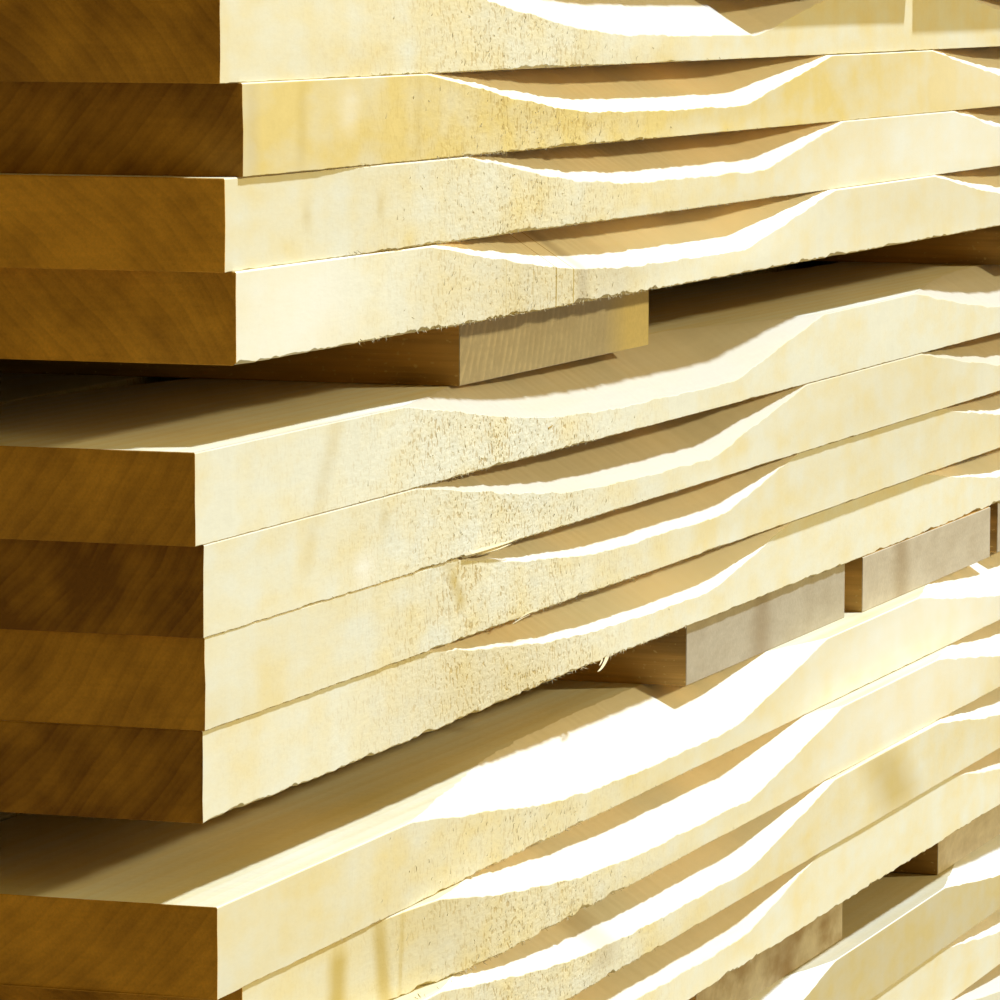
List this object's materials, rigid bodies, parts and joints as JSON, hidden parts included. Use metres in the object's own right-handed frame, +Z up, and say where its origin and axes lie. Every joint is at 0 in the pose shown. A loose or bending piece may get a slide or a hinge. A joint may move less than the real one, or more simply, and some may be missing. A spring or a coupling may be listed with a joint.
{
  "type": "stack of wooden boards",
  "caption": "Stack of sawn softwood pallet base boards with milled run-out chamfers on their upper long edges, in even groups kept apart by flat cross boards",
  "frame": {"origin": "middle of the stack's box, on the floor under it", "axes": "+X along the boards away from the ends in the picture, +Y across the stack away from the lit long face, +Z up"},
  "size_m": [1.2224, 0.8294, 0.516],
  "materials": {
    "base_board_wood": "fresh sawn pine, pale and fuzzy from the saw, not planed",
    "cross_board_wood": "rough sawn softwood, a little greyed on the end grain"
  },
  "bodies": {
    "root": {"cross_board_1_1": "cross_board_wood", "cross_board_1_2": "cross_board_wood", "cross_board_1_3": "cross_board_wood", "cross_board_2_1": "cross_board_wood", "cross_board_2_2": "cross_board_wood", "cross_board_3_1": "cross_board_wood", "cross_board_3_2": "cross_board_wood", "cross_board_3_3": "cross_board_wood", "cross_board_4_1": "cross_board_wood", "cross_board_4_2": "cross_board_wood", "cross_board_4_3": "cross_board_wood", "group_1_layer_1": "base_board_wood", "group_1_layer_2": "base_board_wood", "group_1_layer_3": "base_board_wood", "group_1_layer_4": "base_board_wood", "group_2_layer_1": "base_board_wood", "group_2_layer_2": "base_board_wood", "group_2_layer_3": "base_board_wood", "group_2_layer_4": "base_board_wood", "group_3_layer_1": "base_board_wood", "group_3_layer_2": "base_board_wood", "group_3_layer_3": "base_board_wood", "group_3_layer_4": "base_board_wood", "group_4_layer_1": "base_board_wood", "group_4_layer_2": "base_board_wood", "group_4_layer_3": "base_board_wood", "group_4_layer_4": "base_board_wood", "group_5_layer_1": "base_board_wood", "group_5_layer_2": "base_board_wood", "group_5_layer_3": "base_board_wood", "group_5_layer_4": "base_board_wood"}
  },
  "joints": []
}
